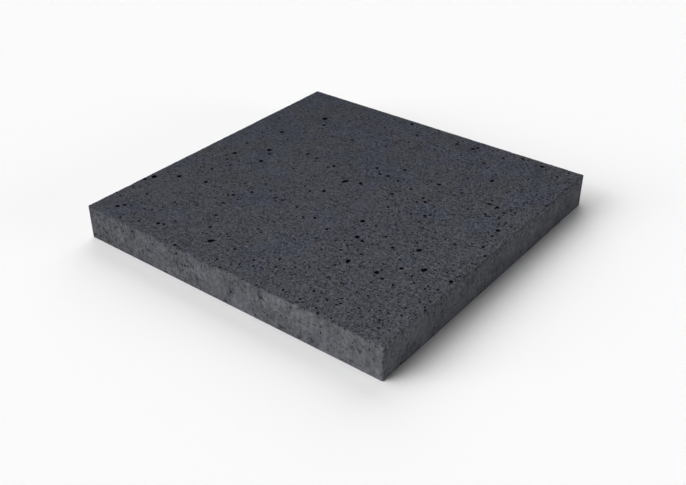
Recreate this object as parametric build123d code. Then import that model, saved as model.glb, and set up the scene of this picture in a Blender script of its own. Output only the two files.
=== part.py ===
from build123d import *
import os

# Square concrete paving slab, cast in one piece and lying flat, in millimetres.
# The origin is the centre of the bedding face, +Z points up out of the wearing face.

# Driving dimensions
LENGTH = 500.0            # along X
WIDTH = 500.0             # along Y
THICKNESS = 50.0          # along Z
CORNER_RADIUS = 2.0       # upright corners, as the mould leaves them
TOP_ARRIS = 1.2           # easing round the wearing face
FOOT_ARRIS = 0.8          # easing round the bedding face
BLOWHOLE_DEPTH = 0.45     # depth of an open air bubble, as a share of its mouth
BLOWHOLE_MARGIN = 1.0     # least flat left between a bubble's mouth and the eased edge

# The largest air bubbles that open on the wearing face: X and Y of the middle, then the mouth.
# A bubble that opens as a long hole is two bubbles that run into each other.
BLOWHOLES = [
    (-241, -136, 7.0), (-217, -225, 5.0), (-212, -217, 4.5), (-139, -222, 5.0),
    (-54, -212, 4.5), (-52, -209, 6.0), (-213, -113, 5.5), (-170, -102, 5.0),
    (-151, -5, 5.5), (-166, 30, 6.0), (-169, 170, 7.0), (-14, 21, 5.0),
    (-12, 24, 5.0), (8, 31, 5.0), (73, -51, 6.5), (91, -87, 6.5),
    (115, -138, 5.0), (117, -141, 5.0), (159, -138, 6.5), (172, -144, 5.0),
    (178, -112, 5.5), (201, -99, 5.5), (203, -96, 5.5), (142, -80, 5.0),
    (171, -66, 5.0), (173, -63, 5.5), (242, -99, 6.0), (111, 43, 5.0),
    (99, 97, 5.0), (228, 39, 6.0), (197, 91, 5.5), (190, 236, 6.0),
]


def cast_block():
    """The slab as it leaves the mould: upright sides, eased edges, no holes."""
    block = extrude(RectangleRounded(LENGTH, WIDTH, CORNER_RADIUS), THICKNESS)
    rims = block.edges().filter_by_position(Axis.Z, THICKNESS, THICKNESS)
    block = fillet(rims, TOP_ARRIS)
    feet = block.edges().filter_by_position(Axis.Z, 0, 0)
    return fillet(feet, FOOT_ARRIS)


def opens_on_the_flat(across, along, mouth):
    """Whether a bubble's mouth lies whole on the flat of the wearing face."""
    border = TOP_ARRIS + BLOWHOLE_MARGIN + mouth / 2
    return abs(across) <= LENGTH / 2 - border and abs(along) <= WIDTH / 2 - border


def bubble(across, along, mouth):
    """The ball of air whose lowest cap is the blowhole, with the ball's poles kept level."""
    depth = BLOWHOLE_DEPTH * mouth
    radius = (mouth ** 2 / 4 + depth ** 2) / (2 * depth)
    middle_height = THICKNESS - depth + radius
    return Pos(across, along, middle_height) * Rot(90, 0, 0) * Sphere(radius)


def paving_slab():
    """The finished slab: the cast block with its blowholes."""
    bubbles = [bubble(*hole) for hole in BLOWHOLES if opens_on_the_flat(*hole)]
    return cast_block() - bubbles


os.makedirs("parts", exist_ok=True)
export_step(paving_slab(), "parts/paving_slab.step")
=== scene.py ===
# Concrete paving slab: the pored mesh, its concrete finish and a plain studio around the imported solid
import math
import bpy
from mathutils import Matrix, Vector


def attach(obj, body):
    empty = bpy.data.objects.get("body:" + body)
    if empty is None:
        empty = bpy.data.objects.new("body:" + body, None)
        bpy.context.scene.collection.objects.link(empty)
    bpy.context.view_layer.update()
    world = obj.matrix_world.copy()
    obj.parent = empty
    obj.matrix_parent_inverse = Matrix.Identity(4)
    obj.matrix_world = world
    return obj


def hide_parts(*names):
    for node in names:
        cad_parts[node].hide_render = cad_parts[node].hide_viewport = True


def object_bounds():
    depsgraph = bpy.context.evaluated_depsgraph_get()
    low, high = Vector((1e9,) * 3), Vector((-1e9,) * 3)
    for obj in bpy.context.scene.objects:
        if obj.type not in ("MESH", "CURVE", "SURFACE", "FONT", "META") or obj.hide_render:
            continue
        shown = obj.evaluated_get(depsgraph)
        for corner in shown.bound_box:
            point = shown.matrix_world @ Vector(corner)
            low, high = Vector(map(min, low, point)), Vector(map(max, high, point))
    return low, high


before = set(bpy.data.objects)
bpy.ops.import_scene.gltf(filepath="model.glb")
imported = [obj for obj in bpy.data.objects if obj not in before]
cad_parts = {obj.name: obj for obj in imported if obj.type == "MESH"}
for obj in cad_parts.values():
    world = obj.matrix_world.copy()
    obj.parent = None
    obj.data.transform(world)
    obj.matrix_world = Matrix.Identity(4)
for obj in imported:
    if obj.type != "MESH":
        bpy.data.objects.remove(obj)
from types import SimpleNamespace

import bmesh
import bpy
import numpy as np
from bpy.props import FloatProperty, FloatVectorProperty, IntProperty, PointerProperty
from bpy.types import Operator, Panel, PropertyGroup
from mathutils import Vector, noise

bl_info = {
    "name": "Concrete Paving Slab",
    "version": (1, 0, 0),
    "blender": (4, 5, 0),
    "location": "View3D > Sidebar > Paving Slab",
    "description": "Opens the pores of a cast slab, finishes its concrete and sets a studio round it",
    "category": "Object",
}

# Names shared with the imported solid
NODE = "paving_slab"
BODY = "root"
PIECE = "concrete_slab"

# The cast slab's box, in metres
CAD_LOW, CAD_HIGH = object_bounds()
HALF_LENGTH = CAD_HIGH.x
HALF_WIDTH = CAD_HIGH.y
THICKNESS = CAD_HIGH.z

# Working sizes
MM = 0.001
MERGE_DISTANCE = 0.005 * MM
OVERLAP = 0.01 * MM * MM      # largest area by which a face's triangles may overlap
SEED_TRIES = 12
CELL = 25.0 * MM              # the blank's faces are ruled into cells of this size
CORNER_RADIUS = 2.0 * MM      # of the solid's upright corners
FOOT_ARRIS = 0.8 * MM         # easing of the solid's foot
MOST_TRIANGLES = 195000
SHARP_ANGLE = math.radians(35)
PORE_SHADE = "pore_shade"             # face attribute: how far painted shade darkens a pore's wall, 0 on the slab's skin
PLAIN_FACE = 0.99999          # a face is plain when its normal is this close to an axis
FLOOR_REACH = 30.0            # from the slab's middle to the floor's edges
CLIP_START = 10.0 * MM        # nearest that the camera sees

# The four upright sides, by quarter turns from +X towards +Y
RIGHT, BACK, LEFT, FRONT = range(4)

# Sizes and spacing of the pores
RARITY = 2.3                  # bubbles of twice the size are about five times as rare
FINE_RADIUS = 0.95 * MM       # below this a pore is a six-sided cup
WIDE_RADIUS = 1.4 * MM        # from this on a pore is a ball of 80 faces
SPACING = 1.25                # least distance between two pores, as a share of their radii together
PLACING_TRIES = 60
FAR_GROWTH = 0.15             # by how much the top's fine pores are wider at the far edge
SINGLE_GROWTH = 0.2           # by how much its single bubbles widen to the far corner and narrow to the near
HOLE_SPREAD = 1.3             # a blowhole's ragged mouth against the solid's clean one
HOLE_LIFT = 0.15              # of a blowhole's middle above the top, as a share of its half width
RIM_INSET = 2.0 * MM          # the solid's blowholes are sought this far inside its sides
RIM_DEPTH = 0.05 * MM         # and this far below its top
CROWD_PATCH = 45.0 * MM       # size of the patches in which the top's pores stand thicker
LUMPS = (0.82, 1.12)          # least and most that a point of a pore's wall is moved out, as a factor
STRETCH = (0.85, 1.2)         # least and most that a pore is stretched along each axis, as a factor

# Where the pores and nicks sit
TOP_ROOM = 1.0 * MM           # between the middles of the top's pores and its edges
TOP_RISE = (0.0, 0.3)         # of a ball's middle above the face it opens, as a share of its radius
UNDER_RUN = 0.97              # how much of the face's length and width the pores take up
UNDER_RISE = (0.1, 0.4)
SIDE_RUN = 0.99
SIDE_BAND = (0.06, 0.94)      # lowest and highest pore, as shares of the thickness
SIDE_RISE = (0.35, 0.65)
NICK_RUN = 0.98
NICK_RISE = (0.0, 0.5)        # of a ball's middle beyond both faces at an edge, as a share of its radius
NICK_INSET = 0.3 * MM         # and how far it is then set back
CORNER_BAND = (0.05, 0.92)
CORNER_RISE = (0.0, 0.4)
CORNER_INSET = 0.5 * MM

# The cup of a fine pore, in radii of its mouth
CUP_RIM = 1.17                # radius of its rim, which stands above the mouth
CUP_HEIGHT = 2.1
CUP_DROP = 0.75               # of its middle below the pore's
CUP_LID = 0.4                 # rise of the lid over its rim
CUP_MERGE = 0.01

# The ragged wear of the top edges
WEDGE_STEP = 2.2 * MM         # between the stations of a ragged edge
WEDGE_OUT = 5.0 * MM          # how far a wedge stands out beyond the slab
WEDGE_PAST = 0.6              # how far its flat runs on past the slab's faces, as a share of the wear
SLOW_WAVE = 16.0 * MM         # length of the long waves in the wear
QUICK_WAVE = 4.5 * MM         # and of the short ones
LEAN_WAVE = 9.0 * MM          # and of the waves in the flat's lean
EDGE_ROW = 7.3                # between the rows of noise of two edges

# Sizes of the concrete's patterns, in millimetres, along X, Y and Z where they differ
GRAIN = 5.0
MOTTLE = 14.0
PATCHES = 60.0
PITS = 2.6
FLECKS = 2.8
RUNS = (6.0, 6.0, 24.0)
SMUDGES = (8.0, 8.0, 11.0)
BLOTCHES = 34.0
SPOTS = 4.2
WANDER = 15.0

# Depths of the concrete's finish, in millimetres
SKIN_DEPTH = 15.0             # deeper than this below the top, all is coloured as the sides are
CALM_DEPTH = 4.0              # the right side's calm finish ends this far in from its face
CALM_BLEND = 2.0
LINE_BLEND = 2.2              # half the width over which the top's colour turns into the sides'
WANDER_REACH = 24.0           # breadth over which the line between them wanders
WANDER_DROP = 1.0             # how far down the sides that line lies on the whole
WANDER_MOST = 2.0             # most by which the sides' colour climbs onto the top
SPILL = (3.0, 18.0)           # where the top's pits fade out on the right side

# Bubbles that show singly on the photographed top: column, row and width, in the photograph's pixels
PHOTO_SIZE = (686, 485)
SENSOR_WIDTH = 36.0
SEEN_SPREAD = 2.05            # a bubble's mouth against its seen width, which slant and blur narrow
SEEN_PORES = (
    (324, 125, 1.8), (282, 132, 1.9), (247, 143, 1.7), (235, 153, 1.8), (269, 154, 1.7), (308, 154, 1.5),
    (317, 158, 1.9), (328, 167, 1.5), (334, 166, 1.8), (412, 124, 1.7), (417, 135, 1.8), (352, 140, 1.7),
    (377, 168, 1.7), (380, 174, 2.0), (388, 176, 2.0), (405, 170, 1.9), (350, 165, 1.5), (457, 144, 1.6),
    (473, 149, 2.0), (478, 148, 2.1), (503, 158, 1.7), (523, 159, 1.7), (484, 163, 1.6), (492, 181, 2.2),
    (557, 177, 1.6), (462, 193, 1.6), (489, 204, 2.0), (468, 209, 1.6), (504, 213, 1.5), (511, 210, 1.6),
    (515, 213, 1.6), (485, 214, 1.5), (145, 179, 2.0), (139, 221, 1.6), (164, 224, 1.7), (147, 194, 1.4),
    (175, 202, 1.4), (152, 210, 1.4), (175, 221, 1.4), (212, 169, 1.7), (233, 195, 1.9), (228, 195, 1.5),
    (223, 203, 1.5), (252, 192, 1.7), (216, 215, 1.7), (210, 227, 1.7), (282, 200, 1.5), (310, 191, 1.8),
    (324, 191, 2.0), (315, 218, 1.9), (258, 229, 1.6), (226, 155, 1.4), (227, 159, 1.4), (230, 165, 1.4),
    (266, 184, 1.4), (305, 186, 1.4), (275, 198, 1.4), (297, 207, 1.4), (303, 217, 1.4), (398, 181, 1.7),
    (411, 189, 1.7), (392, 194, 2.0), (423, 198, 1.7), (417, 202, 1.7), (388, 207, 1.5), (411, 214, 1.7),
    (425, 216, 1.8), (430, 215, 1.7), (423, 228, 1.5), (327, 229, 1.8), (362, 241, 2.1), (386, 237, 1.7),
    (372, 244, 1.5), (417, 243, 1.5), (455, 244, 1.9), (483, 247, 2.0), (485, 256, 1.9), (511, 227, 1.5),
    (506, 223, 1.5), (499, 219, 1.5), (492, 236, 1.8), (486, 216, 1.5), (175, 245, 1.9), (235, 249, 1.9),
    (217, 259, 1.8), (220, 267, 1.5), (240, 264, 1.6), (254, 260, 2.0), (253, 266, 1.5), (243, 279, 1.5),
    (280, 259, 2.0), (284, 269, 1.6), (276, 267, 1.5), (283, 290, 1.7), (286, 292, 1.5), (300, 299, 1.7),
    (296, 302, 1.5), (314, 291, 1.6), (316, 308, 1.6), (318, 313, 1.8), (327, 300, 1.9), (329, 277, 1.5),
    (335, 265, 1.6), (340, 264, 1.5), (350, 267, 1.5), (344, 272, 1.5), (341, 250, 1.6), (361, 254, 1.6),
    (360, 267, 1.5), (370, 262, 1.5), (383, 264, 1.5), (341, 283, 1.5), (352, 283, 1.5), (371, 282, 1.5),
    (393, 285, 1.7), (357, 292, 1.5), (359, 308, 1.7), (435, 270, 1.5), (412, 276, 1.6), (457, 277, 1.5),
    (460, 276, 1.5), (425, 289, 1.8), (428, 286, 1.7), (438, 290, 1.7), (430, 302, 1.7), (425, 307, 1.7),
    (406, 308, 1.7), (388, 313, 1.7), (380, 320, 2.1), (378, 328, 1.9), (416, 315, 1.5), (331, 318, 1.6),
)


class PoreSettings(PropertyGroup):
    """Sizes and numbers of the air bubbles that open on the slab."""

    seed: IntProperty(name="Seed", description="Start of the random scatter", default=7)
    wearing_count: IntProperty(
        name="Wearing face", description="Pores that open on the top", default=3500)
    smallest: FloatProperty(
        name="Smallest", description="Mouth of the finest modelled pore", default=1.4 * MM, unit="LENGTH")
    largest: FloatProperty(
        name="Largest", description="Mouth of the widest scattered pore", default=3.4 * MM, unit="LENGTH")
    side_count: IntProperty(
        name="Each side", description="Shallow pores on each upright side", default=110)
    side_largest: FloatProperty(
        name="Widest on a side", description="Mouth of the widest pore on a side", default=4.0 * MM,
        unit="LENGTH")
    nick_count: IntProperty(
        name="Each top edge", description="Small nicks along each top edge", default=60)
    nick_largest: FloatProperty(
        name="Widest nick", description="Width of the widest nick", default=2.8 * MM, unit="LENGTH")
    corner_count: IntProperty(
        name="Each upright corner", description="Small nicks along each upright corner", default=3)
    under_count: IntProperty(
        name="Underside", description="Pores on the bedding face", default=160)
    wear: FloatProperty(
        name="Wear", description="Widest ragged easing of the two near top edges", default=2.6 * MM,
        unit="LENGTH")
    far_wear: FloatProperty(
        name="Far wear", description="Widest ragged easing of the two far top edges", default=1.0 * MM,
        unit="LENGTH")


class FinishSettings(PropertyGroup):
    """Colours of the concrete, as linear values."""

    wearing_colour: FloatVectorProperty(
        name="Wearing face", description="Neutral grey of the top", subtype="COLOR", size=3,
        default=(0.0638, 0.0653, 0.0756))
    slate_colour: FloatVectorProperty(
        name="Slate patches", description="Bluer grey of the top's soft patches", subtype="COLOR", size=3,
        default=(0.0605, 0.0650, 0.0838))
    side_colour: FloatVectorProperty(
        name="Sides", description="Paler cement skin of the sides", subtype="COLOR", size=3,
        default=(0.0882, 0.0892, 0.0962))
    side_slate_colour: FloatVectorProperty(
        name="Slate of the sides", description="Bluer grey of the sides' soft patches", subtype="COLOR",
        size=3, default=(0.0855, 0.0877, 0.0996))
    # Painted shade: the near-black that the walls of the pores are mixed towards
    pore_shade_colour: FloatVectorProperty(
        name="Pores", description="Shaded grey inside a pore", subtype="COLOR", size=3,
        default=(0.005, 0.005, 0.006))
    roughness: FloatProperty(
        name="Roughness", description="Roughness of the matt concrete", default=0.82, subtype="FACTOR")


class StageSettings(PropertyGroup):
    """The studio: floor, lamps and camera."""

    floor_colour: FloatVectorProperty(
        name="Floor", description="Colour of the pale floor", subtype="COLOR", size=3,
        default=(0.97, 0.97, 0.97))
    key_power: FloatProperty(
        name="Key lamp", description="Light of the high left lamp", default=1.66)
    front_power: FloatProperty(
        name="Front lamp", description="Light of the lamp before the lit side", default=2.05)
    back_power: FloatProperty(
        name="Back lamp", description="Light of the lamp behind the slab", default=1.50)
    right_power: FloatProperty(
        name="Right lamp", description="Light of the low lamp before the shaded side", default=1.09)
    sky_power: FloatProperty(
        name="Sky", description="Even light from all round", default=0.051)
    lens: FloatProperty(
        name="Lens", description="Focal length on a 36 mm sensor, in millimetres", default=48.27)
    azimuth: FloatProperty(
        name="Azimuth", description="Turn of the camera round the slab", default=math.radians(37.78),
        subtype="ANGLE")
    elevation: FloatProperty(
        name="Elevation", description="Height of the camera above the horizon", default=math.radians(32.545),
        subtype="ANGLE")
    distance: FloatProperty(
        name="Distance", description="From the camera to what it aims at", default=1.2315, unit="LENGTH")
    aim: FloatVectorProperty(
        name="Aim", description="Point at the middle of the picture", subtype="XYZ", size=3,
        default=(0.0605, -0.0781, 0.025))


class Shade:
    """A shader socket that works in Python expressions: each operator adds one Math node."""

    def __init__(self, tree, socket):
        self.tree = tree
        self.socket = socket

    def add(self, kind, settings=(), values=(), output=0):
        """Adds a node of any kind: its settings first, then its sockets' values or links."""
        node = self.tree.nodes.new(kind)
        for name, value in dict(settings).items():
            setattr(node, name, value)
        for name, value in dict(values).items():
            if isinstance(value, Shade):
                self.tree.links.new(value.socket, node.inputs[name])
            else:
                node.inputs[name].default_value = value
        return Shade(self.tree, node.outputs[output])

    def other(self, output):
        """Another output of the same node."""
        return Shade(self.tree, self.socket.node.outputs[output])

    def maths(self, operation, first, second=0.0):
        return self.add("ShaderNodeMath", {"operation": operation}, {0: first, 1: second})

    def __add__(self, other):
        return self.maths("ADD", self, other)

    def __radd__(self, other):
        return self.maths("ADD", other, self)

    def __sub__(self, other):
        return self.maths("SUBTRACT", self, other)

    def __rsub__(self, other):
        return self.maths("SUBTRACT", other, self)

    def __mul__(self, other):
        return self.maths("MULTIPLY", self, other)

    def __rmul__(self, other):
        return self.maths("MULTIPLY", other, self)

    def __abs__(self):
        return self.maths("ABSOLUTE", self)

    def least(self, other):
        return self.maths("MINIMUM", self, other)

    def step(self, low, high):
        """A smooth step from 0 at low to 1 at high."""
        return self.add("ShaderNodeMapRange", {"interpolation_type": "SMOOTHSTEP"},
                        {"Value": self, "From Min": low, "From Max": high})

    def stretched(self, size):
        """A place divided by a pattern's size along X, Y and Z."""
        return self.add("ShaderNodeVectorMath", {"operation": "DIVIDE"}, {0: self, 1: size})

    def clouds(self, size, detail=2.0, roughness=0.5):
        """Soft noise about 0, from -0.5 to 0.5, with blotches of the given size in millimetres."""
        sizes = size if isinstance(size, tuple) else (size, size, size)
        return self.add("ShaderNodeTexNoise", {"noise_dimensions": "3D"},
                        {"Vector": self.stretched(sizes), "Scale": 1.0, "Detail": detail,
                         "Roughness": roughness}) - 0.5

    def mixed(self, first, second):
        """A colour from first, where this mask is 0, to second, where it is 1."""
        return self.add("ShaderNodeMix", {"data_type": "RGBA"}, {0: self, 6: first, 7: second}, output=2)

    def tinted(self, colour):
        """A colour multiplied by this value."""
        return self.add("ShaderNodeVectorMath", {"operation": "SCALE"}, {0: colour, 3: self})


def end_tree(kind, shader):
    """Ends a shader's node tree with an output node of the given kind."""
    end = shader.tree.nodes.new(kind)
    shader.tree.links.new(shader.socket, end.inputs["Surface"])


def opaque(colour):
    """A linear colour with its alpha."""
    return (*colour, 1.0)


def new_object(context, name, mesh):
    """A new object for a mesh, in the scene, at the origin."""
    piece = bpy.data.objects.new(name, mesh)
    context.scene.collection.objects.link(piece)
    return piece


def rule_cells(shape):
    """Rules the blank into cells, so that no face grows hundreds of corners when the pores are cut."""
    for normal, half in ((Vector((1, 0, 0)), HALF_LENGTH), (Vector((0, 1, 0)), HALF_WIDTH)):
        for line in np.arange(CELL - half, half - CELL / 2, CELL):
            parts = shape.verts[:] + shape.edges[:] + shape.faces[:]
            bmesh.ops.bisect_plane(shape, geom=parts, plane_co=normal * line, plane_no=normal)


def cast_blank(context):
    """The slab as cast, without pores: rounded upright corners, eased foot, sharp top edges."""
    shape = bmesh.new()
    bmesh.ops.create_cube(shape, size=1.0)
    size = CAD_HIGH - CAD_LOW
    bmesh.ops.scale(shape, verts=shape.verts, vec=size)
    bmesh.ops.translate(shape, verts=shape.verts, vec=(CAD_LOW + CAD_HIGH) / 2)
    uprights = [edge for edge in shape.edges if abs(edge.verts[0].co.z - edge.verts[1].co.z) > THICKNESS / 2]
    bmesh.ops.bevel(shape, geom=uprights, offset=CORNER_RADIUS, segments=4, profile=0.5, affect="EDGES",
                    material=-1)
    feet = [edge for edge in shape.edges if max(v.co.z for v in edge.verts) < THICKNESS / 2]
    bmesh.ops.bevel(shape, geom=feet, offset=FOOT_ARRIS, segments=2, profile=0.5, affect="EDGES", material=-1)
    rule_cells(shape)
    mesh = bpy.data.meshes.new(PIECE)
    shape.to_mesh(mesh)
    shape.free()
    return new_object(context, PIECE, mesh)


def camera_axes(stage):
    """The camera's eye and its axes to the right, up and back."""
    turn, lift = stage.azimuth, stage.elevation
    back = Vector((math.sin(turn) * math.cos(lift), -math.cos(turn) * math.cos(lift), math.sin(lift)))
    right = Vector((math.cos(turn), math.sin(turn), 0.0))
    return Vector(stage.aim) + back * stage.distance, right, back.cross(right), back


def single_growth(x, y):
    """How wide a single bubble of the top is at a place, against one at the middle."""
    return 1 + SINGLE_GROWTH * (y / HALF_WIDTH - x / HALF_LENGTH) / 2


def seen_pores(stage):
    """Balls on the wearing face where the photograph shows single bubbles, as wide as they show."""
    eye, right, up, back = camera_axes(stage)
    focus = stage.lens / SENSOR_WIDTH * PHOTO_SIZE[0]
    balls = []
    for column, row, width in SEEN_PORES:
        ray = right * ((column - PHOTO_SIZE[0] / 2) / focus) + up * ((PHOTO_SIZE[1] / 2 - row) / focus) - back
        reach = (THICKNESS - eye.z) / ray.z
        place = eye + ray * reach
        mouth = SEEN_SPREAD * width * reach / focus
        balls.append((*place, mouth / 2 * single_growth(place.x, place.y)))
    return np.array(balls)


def blowholes():
    """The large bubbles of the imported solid: middle, bearing, half length and half width of each mouth."""
    shape = bmesh.new()
    shape.from_mesh(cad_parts[NODE].data)
    bmesh.ops.remove_doubles(shape, verts=shape.verts, dist=MERGE_DISTANCE)
    inner = min(HALF_LENGTH, HALF_WIDTH) - RIM_INSET
    low, high = THICKNESS / 2, THICKNESS - RIM_DEPTH
    waiting = {v for v in shape.verts if low < v.co.z < high and max(abs(v.co.x), abs(v.co.y)) < inner}
    holes = []
    while waiting:
        group = [waiting.pop()]
        for vert in group:
            near = {edge.other_vert(vert) for edge in vert.link_edges} & waiting
            waiting -= near
            group.extend(near)
        rim = np.array([v.co.xy for v in group])
        middle = (rim.max(0) + rim.min(0)) / 2
        spin = np.linalg.eigh(np.cov((rim - middle).T))[1]
        half_width, half_length = np.abs((rim - middle) @ spin).max(0)
        holes.append((*middle, math.atan2(spin[1, 1], spin[0, 1]), half_length, half_width))
    shape.free()
    return np.array(sorted(holes))


def crowding(x, y):
    """How thickly pores stand on the top, from 0 to 1: more towards the near right corner, in patches."""
    across = 0.5 + 0.5 * x / HALF_LENGTH
    ahead = 0.5 - 0.5 * y / HALF_WIDTH
    patch = 0.5 + noise.noise(Vector((x, y, 0.0)) / CROWD_PATCH)
    return min(1.0, (0.1 + 0.6 * across + 0.3 * ahead) * (0.55 + 0.55 * patch))


def bubble_radii(rng, count, smallest, largest):
    """Radii of bubbles, widest first, with many small ones and few large ones."""
    rarest = (smallest / largest) ** RARITY
    chances = rng.uniform(rarest, 1.0, count)
    return np.sort(smallest / 2 * chances ** (-1 / RARITY))[::-1]


def spread(radii, draw):
    """Places a ball for each radius where draw says, so that no two touch."""
    balls = np.zeros((len(radii), 4))
    placed = 0
    for radius in radii:
        for _ in range(PLACING_TRIES):
            ball = np.array(draw(radius))
            taken = balls[:placed]
            clear = np.linalg.norm(taken[:, :3] - ball[:3], axis=1) > SPACING * (taken[:, 3] + ball[3])
            if clear.all():
                balls[placed] = ball
                placed += 1
                break
    return balls[:placed]


def on_side(turn, along, out, height):
    """A place on the upright side of a quarter turn: along from -1 to 1, out beyond the face."""
    reach = (HALF_LENGTH, HALF_WIDTH)[turn % 2] + out
    sweep = (HALF_WIDTH, HALF_LENGTH)[turn % 2] * along
    facing = 1 if turn in (RIGHT, BACK) else -1
    if turn in (RIGHT, LEFT):
        return facing * reach, sweep, height
    return sweep, facing * reach, height


def wearing_pores(rng, pores):
    """Balls that open the wearing face."""
    def draw(radius):
        while True:
            x, y = rng.uniform(-1, 1, 2) * (HALF_LENGTH - TOP_ROOM, HALF_WIDTH - TOP_ROOM)
            if rng.uniform() < crowding(x, y):
                wider = radius * (1 + FAR_GROWTH * (0.5 + 0.5 * y / HALF_WIDTH))
                return x, y, THICKNESS + rng.uniform(*TOP_RISE) * wider, wider

    return spread(bubble_radii(rng, pores.wearing_count, pores.smallest, pores.largest), draw)


def under_pores(rng, pores):
    """Balls that open the bedding face."""
    def draw(radius):
        x, y = rng.uniform(-UNDER_RUN, UNDER_RUN, 2) * (HALF_LENGTH, HALF_WIDTH)
        return x, y, -rng.uniform(*UNDER_RISE) * radius, radius

    return spread(bubble_radii(rng, pores.under_count, pores.smallest, pores.side_largest), draw)


def side_pores(rng, pores):
    """Shallow balls on the four upright sides."""
    def draw(radius):
        height = rng.uniform(*SIDE_BAND) * THICKNESS
        out = rng.uniform(*SIDE_RISE) * radius
        return *on_side(rng.integers(4), rng.uniform(-SIDE_RUN, SIDE_RUN), out, height), radius

    return spread(bubble_radii(rng, 4 * pores.side_count, pores.smallest, pores.side_largest), draw)


def edge_nicks(rng, pores):
    """Small balls along the four top edges, which nick the eased arris."""
    def draw(radius):
        off = rng.uniform(*NICK_RISE) * radius - NICK_INSET
        return *on_side(rng.integers(4), rng.uniform(-NICK_RUN, NICK_RUN), off, THICKNESS + off), radius

    return spread(bubble_radii(rng, 4 * pores.nick_count, pores.smallest, pores.nick_largest), draw)


def corner_nicks(rng, pores):
    """Small balls along the four upright corners."""
    def draw(radius):
        off = rng.uniform(*CORNER_RISE) * radius - CORNER_INSET
        x, y = rng.choice((-1, 1), 2) * (HALF_LENGTH + off, HALF_WIDTH + off)
        return x, y, rng.uniform(*CORNER_BAND) * THICKNESS, radius

    return spread(bubble_radii(rng, 4 * pores.corner_count, pores.smallest, pores.nick_largest), draw)


def ragged_wedge(turn, wear):
    """Points and triangles of a wedge that eases one top edge by an uneven width."""
    half_edge = (HALF_WIDTH, HALF_LENGTH)[turn % 2]
    half_run = half_edge + WEDGE_OUT
    row = turn * EDGE_ROW
    past = 1 + WEDGE_PAST
    points = []
    for station in np.arange(-half_run, half_run, WEDGE_STEP):
        slow = 0.5 + noise.noise(Vector((station / SLOW_WAVE, row, 0.0)))
        quick = 0.5 + noise.noise(Vector((station / QUICK_WAVE, row, 5.0)))
        width = wear * min(1.0, 0.08 + 0.5 * slow * slow + 0.42 * quick * quick)
        lean = 0.5 * noise.noise(Vector((station / LEAN_WAVE, row, 9.0)))
        inset, drop = width * (1 + lean), width * (1 - lean)
        along = station / half_edge
        points.append(on_side(turn, along, -past * inset, THICKNESS + WEDGE_PAST * drop))
        points.append(on_side(turn, along, WEDGE_PAST * inset, THICKNESS - past * drop))
        points.append(on_side(turn, along, WEDGE_OUT, THICKNESS + WEDGE_OUT))
    triangles = [(0, 1, 2)]
    for first in range(0, len(points) - 3, 3):
        for side in range(3):
            a, b = first + side, first + (side + 1) % 3
            triangles += [(a, a + 3, b), (b, a + 3, b + 3)]
    last = len(points) - 3
    triangles.append((last + 2, last + 1, last))
    return np.array(points), np.array(triangles)


def wedges(context, wear_of_turn):
    """One object with the wedges of two opposite top edges."""
    shape = bmesh.new()
    for turn, wear in wear_of_turn.items():
        points, triangles = ragged_wedge(turn, wear)
        verts = [shape.verts.new(point) for point in points]
        for triangle in triangles:
            shape.faces.new([verts[corner] for corner in triangle])
    bmesh.ops.recalc_face_normals(shape, faces=shape.faces)
    mesh = bpy.data.meshes.new("wedges")
    shape.to_mesh(mesh)
    shape.free()
    return new_object(context, "wedges", mesh)


def cup_arrays():
    """Points and triangles of a steep six-sided cup of unit mouth radius, closed by a low lid above."""
    shape = bmesh.new()
    bmesh.ops.create_cone(shape, segments=6, radius1=0.0, radius2=CUP_RIM, depth=CUP_HEIGHT, cap_ends=False)
    bmesh.ops.translate(shape, verts=shape.verts, vec=(0.0, 0.0, -CUP_DROP))
    bmesh.ops.remove_doubles(shape, verts=shape.verts, dist=CUP_MERGE)
    rim = [edge for edge in shape.edges if edge.is_boundary]
    lid = bmesh.ops.contextual_create(shape, geom=rim)["faces"]
    bmesh.ops.poke(shape, faces=lid, offset=CUP_LID)
    return mesh_arrays(shape)


def ball_arrays(subdivisions):
    """Points and triangles of a unit ball of few faces."""
    shape = bmesh.new()
    bmesh.ops.create_icosphere(shape, subdivisions=subdivisions, radius=1.0)
    return mesh_arrays(shape)


def mesh_arrays(shape):
    """Points and triangles of a small closed shape, facing out. Frees the shape."""
    bmesh.ops.recalc_face_normals(shape, faces=shape.faces)
    bmesh.ops.triangulate(shape, faces=shape.faces)
    shape.verts.index_update()
    points = np.array([v.co for v in shape.verts])
    triangles = np.array([[v.index for v in face.verts] for face in shape.faces])
    shape.free()
    return points, triangles


def lumpy_copies(rng, pattern, places, bearings, sizes, shades):
    """A lumpy, turned and sized copy of the pattern at each place: points, triangles and the painted shade of
    each wall.
    """
    points, triangles = pattern
    cosines, sines = np.cos(bearings)[:, None], np.sin(bearings)[:, None]
    lumps = rng.uniform(*LUMPS, (len(places), len(points), 1))
    x, y, z = np.moveaxis(points * lumps * sizes[:, None, :], 2, 0)
    turned = np.stack((x * cosines - y * sines, x * sines + y * cosines, z), 2)
    numbered = triangles + np.arange(len(places))[:, None, None] * len(points)
    painted_shades = np.repeat(shades, len(triangles))
    return (turned + places[:, None, :]).reshape(-1, 3), numbered.reshape(-1, 3), painted_shades


def joined(context, name, parts):
    """One object from groups of points, triangles and the painted shade of each wall."""
    starts = np.cumsum([0] + [len(points) for points, _, _ in parts])
    points = np.concatenate([part[0] for part in parts])
    triangles = np.concatenate([part[1] + start for part, start in zip(parts, starts)])
    mesh = bpy.data.meshes.new(name)
    mesh.from_pydata(points.tolist(), [], triangles.tolist())
    painted_shades = mesh.attributes.new(PORE_SHADE, "FLOAT", "FACE")
    painted_shades.data.foreach_set("value", np.concatenate([part[2] for part in parts]))
    return new_object(context, name, mesh)


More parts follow.
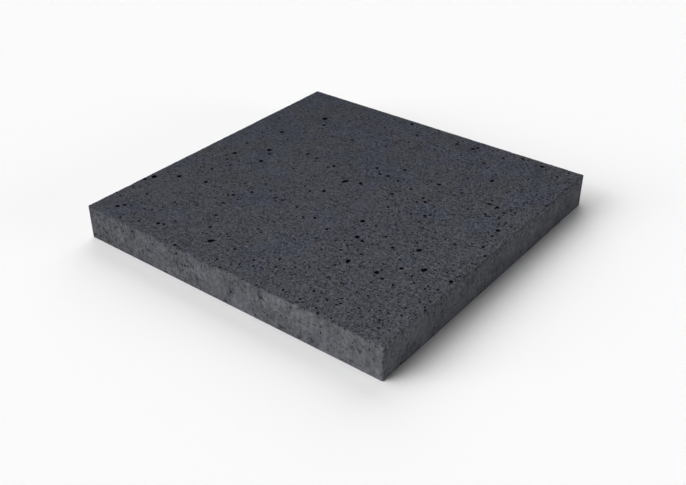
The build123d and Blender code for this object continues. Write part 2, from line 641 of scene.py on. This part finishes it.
def pore_cutter(context, rng, name, balls, faintest_shade):
    """One object with a shape for each ball of a cut: cups for fine ones, rounder shapes for wide ones."""
    radii = balls[:, 3]
    fine = radii < FINE_RADIUS
    wide = radii >= WIDE_RADIUS
    parts = []
    for pattern, picked in ((cup_arrays(), fine), (ball_arrays(1), ~fine & ~wide), (ball_arrays(2), wide)):
        count = picked.sum()
        sizes = radii[picked, None] * rng.uniform(*STRETCH, (count, 3))
        bearings = rng.uniform(0, 2 * math.pi, count)
        # How far painted shade darkens the walls of each pore
        shades = rng.uniform(faintest_shade, 1.0, count)
        parts.append(lumpy_copies(rng, pattern, balls[picked, :3], bearings, sizes, shades))
    return joined(context, name, parts)


def blowhole_cutter(context, rng, holes):
    """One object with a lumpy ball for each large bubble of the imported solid."""
    lift = HOLE_LIFT * holes[:, 4]
    places = np.column_stack((holes[:, :2], THICKNESS + lift))
    growth = HOLE_SPREAD * single_growth(holes[:, 0], holes[:, 1])
    sizes = growth[:, None] * np.column_stack((holes[:, 3], holes[:, 4], holes[:, 4]))
    # The walls of the blowholes get the full painted shade
    shades = np.ones(len(holes))
    balls = lumpy_copies(rng, ball_arrays(2), places, holes[:, 2], sizes, shades)
    return joined(context, "blowholes", [balls])


def cut_away(context, piece, tool):
    """Takes the tool's shape out of the piece, and the tool out of the scene."""
    cut = piece.modifiers.new("Cut", "BOOLEAN")
    cut.operation = "DIFFERENCE"
    cut.solver = "MANIFOLD"
    cut.object = tool
    solid = bpy.data.meshes.new_from_object(piece.evaluated_get(context.evaluated_depsgraph_get()))
    piece.modifiers.clear()
    old = piece.data
    piece.data = solid
    bpy.data.meshes.remove(old)
    spent = tool.data
    bpy.data.objects.remove(tool)
    bpy.data.meshes.remove(spent)


def fills_cleanly(mesh):
    """Whether the triangles that fill each many-cornered face cover it once only."""
    mesh.calc_loop_triangles()
    areas = np.empty(len(mesh.polygons))
    mesh.polygons.foreach_get("area", areas)
    owners = np.empty(len(mesh.loop_triangles), np.int32)
    mesh.loop_triangles.foreach_get("polygon_index", owners)
    parts = np.empty(len(mesh.loop_triangles))
    mesh.loop_triangles.foreach_get("area", parts)
    return np.all(np.bincount(owners, parts, len(areas)) - areas < OVERLAP)


def pored_slab(context, seed):
    """The blank with ragged top edges and all its pores cut."""
    pores = context.scene.paving_pores
    rng = np.random.default_rng(seed)
    piece = cast_blank(context)
    cut_away(context, piece, wedges(context, {RIGHT: pores.wear, LEFT: pores.far_wear}))
    cut_away(context, piece, wedges(context, {FRONT: pores.wear, BACK: pores.far_wear}))
    cut_away(context, piece, blowhole_cutter(context, rng, blowholes()))
    flat_cut = np.concatenate((wearing_pores(rng, pores), under_pores(rng, pores)))
    nick_cut = np.concatenate((edge_nicks(rng, pores), corner_nicks(rng, pores)))
    # Each cut's balls, and the faintest painted shade that a pore's wall gets
    cuts = {
        "seen_pores": (seen_pores(context.scene.paving_stage), 1.0),
        "pores": (flat_cut, 0.8),
        "side_pores": (side_pores(rng, pores), 0.4),
        "nicks": (nick_cut, 0.4),
    }
    for name, (balls, faintest_shade) in cuts.items():
        cut_away(context, piece, pore_cutter(context, rng, name, balls, faintest_shade))
    return piece


def clean_slab(context, first_seed):
    """The pored slab of the first seed whose faces all fill cleanly."""
    for seed in range(first_seed, first_seed + SEED_TRIES):
        piece = pored_slab(context, seed)
        if fills_cleanly(piece.data):
            return piece
        spoilt = piece.data
        bpy.data.objects.remove(piece)
        bpy.data.meshes.remove(spoilt)
    raise RuntimeError("no scatter of pores leaves faces that fill cleanly")


def skin_patterns(place):
    """Masks and patterns that the concrete's faces share, from a place in millimetres."""
    skin = SimpleNamespace(place=place)
    split = place.add("ShaderNodeSeparateXYZ", values={0: place})
    x, y, z = split, split.other(1), split.other(2)

    # Shares of the slab's length, width and thickness, and depths below its faces
    skin.across = x * (0.5 * MM / HALF_LENGTH) + 0.5
    skin.ahead = 0.5 - y * (0.5 * MM / HALF_WIDTH)
    skin.height = z * (MM / THICKNESS)
    skin.top_depth = THICKNESS / MM - z
    side_depth = (HALF_LENGTH / MM - abs(x)).least(HALF_WIDTH / MM - abs(y)).least(SKIN_DEPTH)
    right_depth = HALF_LENGTH / MM - x
    front_depth = HALF_WIDTH / MM + y

    # Calm is 1 on the right side and its eased edge
    skin.calm = (front_depth - right_depth).least(CALM_DEPTH - right_depth).step(0.0, CALM_BLEND)

    # Side is 0 on the top and 1 on the sides; the line between them wanders, but is soft along the right side
    clouds = place.clouds(WANDER, detail=3.0, roughness=0.75)
    wander = (clouds * WANDER_REACH - WANDER_DROP).least(WANDER_MOST)
    line = skin.top_depth - side_depth + wander * (1.0 - skin.calm * 0.8)
    skin.side = line.step(-LINE_BLEND - skin.calm * 0.8, LINE_BLEND + skin.calm * 1.8)

    # The patterns, coarser towards the near right corner
    skin.coarse = skin.across * 0.35 + skin.ahead * 0.2 + 0.5
    skin.grain = place.clouds(GRAIN, detail=3.0, roughness=0.8)
    skin.mottle = place.clouds(MOTTLE, detail=3.0, roughness=0.6)
    skin.patches = place.clouds(PATCHES, detail=2.0)
    skin.pits = (place.clouds(PITS, detail=1.0) + skin.coarse * 0.05).step(0.12, 0.2)
    skin.spots = place.clouds(SPOTS, detail=1.0).step(0.12, 0.2)
    return skin


def wearing_skin(skin, finish):
    """Colour of the dark top: a little paler towards the near right corner, partly as painted light, with
    slate patches.
    """
    # The base tone rises towards the right and towards the near edge; the rise towards the near edge is
    # painted light, as of a lamp's falloff
    shade = 0.74 + skin.across * 0.15 + skin.ahead * 0.2
    flecks = skin.place.clouds(FLECKS, detail=1.0).step(0.1, 0.2)
    # The pits' dark is painted shade of fine pores
    dots = (skin.grain * 3.3 - skin.pits * 0.42 + flecks * 0.9) * skin.coarse
    light = shade + dots + skin.mottle * 0.8
    slate = (skin.patches - skin.ahead * 0.18 - skin.across * 0.12 + 0.1).step(-0.1, 0.1)
    return light.tinted(slate.mixed(opaque(finish.wearing_colour), opaque(finish.slate_colour)))


def side_skin(skin, finish):
    """Colour of the paler sides: runs, smudges and spots; the right one calmer, and pitted near its top."""
    runs = skin.place.clouds(RUNS)
    smudges = skin.place.clouds(SMUDGES, detail=3.0, roughness=0.65)
    blotches = skin.place.clouds(BLOTCHES, detail=2.0)
    # The sides' tone rises along the lit side to its right end and is held back on the right side; it is
    # paler towards the foot, which is painted light against the floor's shade
    level = 0.96 + skin.across * 0.34 - skin.calm * (0.34 - skin.ahead * 0.1) - skin.height * 0.06
    busy = 1.0 - skin.calm * 0.3
    # The spots, and the top's pits near the right side's top, are darkened as painted shade of small pores
    marks = (runs * 0.55 + smudges * 1.3 + skin.grain * 2.2 - skin.spots * 0.55) * busy
    spill = skin.calm * (1.0 - skin.top_depth.step(*SPILL))
    pitted = (skin.grain * 2.0 - skin.pits * 0.4) * spill
    light = level + blotches * (1.1 - skin.calm * 0.4) + (marks + pitted)
    slate = (skin.patches + skin.calm * 0.25).step(-0.22, 0.22)
    return light.tinted(slate.mixed(opaque(finish.side_colour), opaque(finish.side_slate_colour)))


def skin_normal(skin):
    """Normal of the fine relief: grain and pits on the top, grain and soft spots on the sides."""
    grain = skin.grain * (0.5 - skin.side * 0.2)
    pits = skin.pits * (0.35 - skin.side * 0.35)
    spots = skin.spots * skin.side * 0.25
    relief = grain - pits + skin.mottle * 0.15 - spots
    return relief.add("ShaderNodeBump", values={"Strength": 1.0, "Distance": MM, "Height": relief},
                      output="Normal")


def concrete(finish):
    """The slab's one material: a dark pored top, paler sides with runs, pores darkened with painted shade."""
    material = bpy.data.materials.new("cast_concrete")
    material.use_nodes = True
    tree = material.node_tree
    tree.nodes.clear()
    start = Shade(tree, None)
    skin = skin_patterns(start.add("ShaderNodeTexCoord", output="Object").stretched((MM, MM, MM)))
    surface = skin.side.mixed(wearing_skin(skin, finish), side_skin(skin, finish))
    # Painted shade: each pore's wall is mixed towards the pore colour as far as its attribute says
    pore_shade = start.add("ShaderNodeAttribute", {"attribute_name": PORE_SHADE}, output="Fac")
    shader = start.add("ShaderNodeBsdfPrincipled", values={
        "Base Color": pore_shade.mixed(surface, opaque(finish.pore_shade_colour)),
        "Roughness": finish.roughness + skin.mottle * 0.16,
        "Specular IOR Level": 0.02,
        "Normal": skin_normal(skin),
    })
    end_tree("ShaderNodeOutputMaterial", shader)
    return material


def smooth_hollows(mesh):
    """Smooth shading for pores and eased edges, flat shading for the slab's plain faces."""
    normals = np.empty(len(mesh.polygons) * 3)
    mesh.polygons.foreach_get("normal", normals)
    plain = np.abs(normals.reshape(-1, 3)).max(1) > PLAIN_FACE
    mesh.set_sharp_from_angle(angle=SHARP_ANGLE)
    mesh.polygons.foreach_set("use_smooth", ~plain)


def loop_points(mesh):
    """The point at each face corner of a mesh."""
    corners = np.empty(len(mesh.loops), np.int32)
    mesh.loops.foreach_get("vertex_index", corners)
    points = np.empty(len(mesh.vertices) * 3)
    mesh.vertices.foreach_get("co", points)
    return points.reshape(-1, 3)[corners]


def loop_charts(mesh, half):
    """The chart of each face corner: 0 to 3 for the sides, 4 for the top, 5 for the underside."""
    middles = np.empty(len(mesh.polygons) * 3)
    mesh.polygons.foreach_get("center", middles)
    middles = middles.reshape(-1, 3)
    depths = np.column_stack((
        half - middles[:, :2], half + middles[:, :2], THICKNESS - middles[:, 2], middles[:, 2]))
    corner_counts = np.empty(len(mesh.polygons), np.int32)
    mesh.polygons.foreach_get("loop_total", corner_counts)
    return np.repeat(depths.argmin(1), corner_counts)


def bake_layout(mesh):
    """A flat map named OFBake: the top large, the four sides as strips above it, the underside small."""
    half = np.array((HALF_LENGTH, HALF_WIDTH))
    points = loop_points(mesh)
    charts = loop_charts(mesh, half)
    margin, big, small = 0.005, 0.695, 0.285
    scale = big / (2 * max(half))
    places = np.zeros((len(points), 2))
    for strip, (along, facing) in enumerate(((1, 1), (0, -1), (1, -1), (0, 1))):
        picked = charts == strip
        run = points[picked, along] * facing + half[along]
        rise = points[picked, 2]
        base = margin * 2 + big + strip * (THICKNESS * scale + margin / 2)
        places[picked] = np.column_stack((margin + run * scale, base + rise * scale))
    flat = points[:, :2] + half
    top, under = charts == 4, charts == 5
    places[top] = margin + flat[top] * scale
    mirrored = np.column_stack((2 * half[0] - flat[under, 0], flat[under, 1]))
    places[under] = mirrored * (small / (2 * max(half))) + (margin * 2 + big, margin)
    layer = mesh.uv_layers.new(name="OFBake")
    layer.uv.foreach_set("vector", places.astype(np.float32).ravel())


class PAVING_OT_cast_slab(Operator):
    """Open the cast slab's pores and give it its concrete finish"""

    bl_idname = "paving.cast_slab"
    bl_label = "Cast slab"

    def execute(self, context):
        piece = clean_slab(context, context.scene.paving_pores.seed)
        piece.name = PIECE
        piece.data.name = PIECE
        if len(piece.data.loop_triangles) > MOST_TRIANGLES:
            raise RuntimeError("the pored slab has too many triangles")
        smooth_hollows(piece.data)
        bake_layout(piece.data)
        piece.data.materials.clear()
        piece.data.materials.append(concrete(context.scene.paving_finish))
        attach(piece, BODY)
        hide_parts(NODE)
        return {"FINISHED"}


def pale_floor(context, stage):
    """A wide plain floor at the slab's foot."""
    shape = bmesh.new()
    bmesh.ops.create_grid(shape, x_segments=1, y_segments=1, size=FLOOR_REACH)
    mesh = bpy.data.meshes.new("floor")
    shape.to_mesh(mesh)
    shape.free()
    floor = new_object(context, "floor", mesh)
    material = bpy.data.materials.new("pale_floor")
    material.use_nodes = True
    shader = material.node_tree.nodes["Principled BSDF"]
    shader.inputs["Base Color"].default_value = opaque(stage.floor_colour)
    shader.inputs["Roughness"].default_value = 1.0
    shader.inputs["Specular IOR Level"].default_value = 0.0
    mesh.materials.append(material)


def soft_lamp(context, name, power, bearing, rise, width):
    """A broad even lamp far off: bearing from +X towards +Y, rise above the floor and width, in degrees."""
    lamp = bpy.data.lights.new(name, "SUN")
    lamp.energy = power
    lamp.angle = math.radians(width)
    turn, lift = math.radians(bearing), math.radians(rise)
    towards = Vector((math.cos(turn) * math.cos(lift), math.sin(turn) * math.cos(lift), math.sin(lift)))
    holder = new_object(context, name, lamp)
    holder.rotation_mode = "QUATERNION"
    holder.rotation_quaternion = towards.to_track_quat("Z", "Y")


def even_sky(context, power):
    """Even light from all round, which the camera sees as white."""
    world = bpy.data.worlds.new("studio")
    world.use_nodes = True
    tree = world.node_tree
    tree.nodes.clear()
    start = Shade(tree, None)
    seen = start.add("ShaderNodeLightPath", output="Is Camera Ray")
    strength = seen * (1.0 - power) + power
    light = start.add("ShaderNodeBackground", values={"Color": (1.0, 1.0, 1.0, 1.0), "Strength": strength})
    end_tree("ShaderNodeOutputWorld", light)
    context.scene.world = world


def aimed_camera(context, stage):
    """The camera, turned round the slab and raised as the photograph's was."""
    camera = bpy.data.cameras.new("camera")
    camera.lens = stage.lens
    camera.sensor_width = SENSOR_WIDTH
    camera.clip_start = CLIP_START
    holder = new_object(context, "camera", camera)
    holder.location, _, _, back = camera_axes(stage)
    holder.rotation_mode = "QUATERNION"
    holder.rotation_quaternion = back.to_track_quat("Z", "Y")
    context.scene.camera = holder


class PAVING_OT_set_stage(Operator):
    """Lay the floor, hang the lamps and place the camera"""

    bl_idname = "paving.set_stage"
    bl_label = "Set stage"

    def execute(self, context):
        stage = context.scene.paving_stage
        pale_floor(context, stage)
        soft_lamp(context, "key_lamp", stage.key_power, bearing=216, rise=52, width=60)
        soft_lamp(context, "front_lamp", stage.front_power, bearing=237, rise=21, width=45)
        soft_lamp(context, "back_lamp", stage.back_power, bearing=120, rise=32, width=60)
        soft_lamp(context, "right_lamp", stage.right_power, bearing=15, rise=6, width=25)
        even_sky(context, stage.sky_power)
        aimed_camera(context, stage)
        context.scene.view_settings.view_transform = "Standard"
        return {"FINISHED"}


class PAVING_PT_panel(Panel):
    """Sizes, colours and steps of the paving slab"""

    bl_label = "Paving Slab"
    bl_space_type = "VIEW_3D"
    bl_region_type = "UI"
    bl_category = "Paving Slab"

    def draw(self, context):
        for group in (context.scene.paving_pores, context.scene.paving_finish, context.scene.paving_stage):
            box = self.layout.box()
            for name in group.__annotations__:
                box.prop(group, name)
        self.layout.operator(PAVING_OT_cast_slab.bl_idname)
        self.layout.operator(PAVING_OT_set_stage.bl_idname)


CLASSES = (
    PoreSettings,
    FinishSettings,
    StageSettings,
    PAVING_OT_cast_slab,
    PAVING_OT_set_stage,
    PAVING_PT_panel,
)


def register():
    for kind in CLASSES:
        bpy.utils.register_class(kind)
    bpy.types.Scene.paving_pores = PointerProperty(type=PoreSettings)
    bpy.types.Scene.paving_finish = PointerProperty(type=FinishSettings)
    bpy.types.Scene.paving_stage = PointerProperty(type=StageSettings)


def unregister():
    del bpy.types.Scene.paving_stage
    del bpy.types.Scene.paving_finish
    del bpy.types.Scene.paving_pores
    for kind in reversed(CLASSES):
        bpy.utils.unregister_class(kind)


def main():
    register()
    bpy.ops.paving.cast_slab()
    bpy.ops.paving.set_stage()


if __name__ == "__main__":
    main()
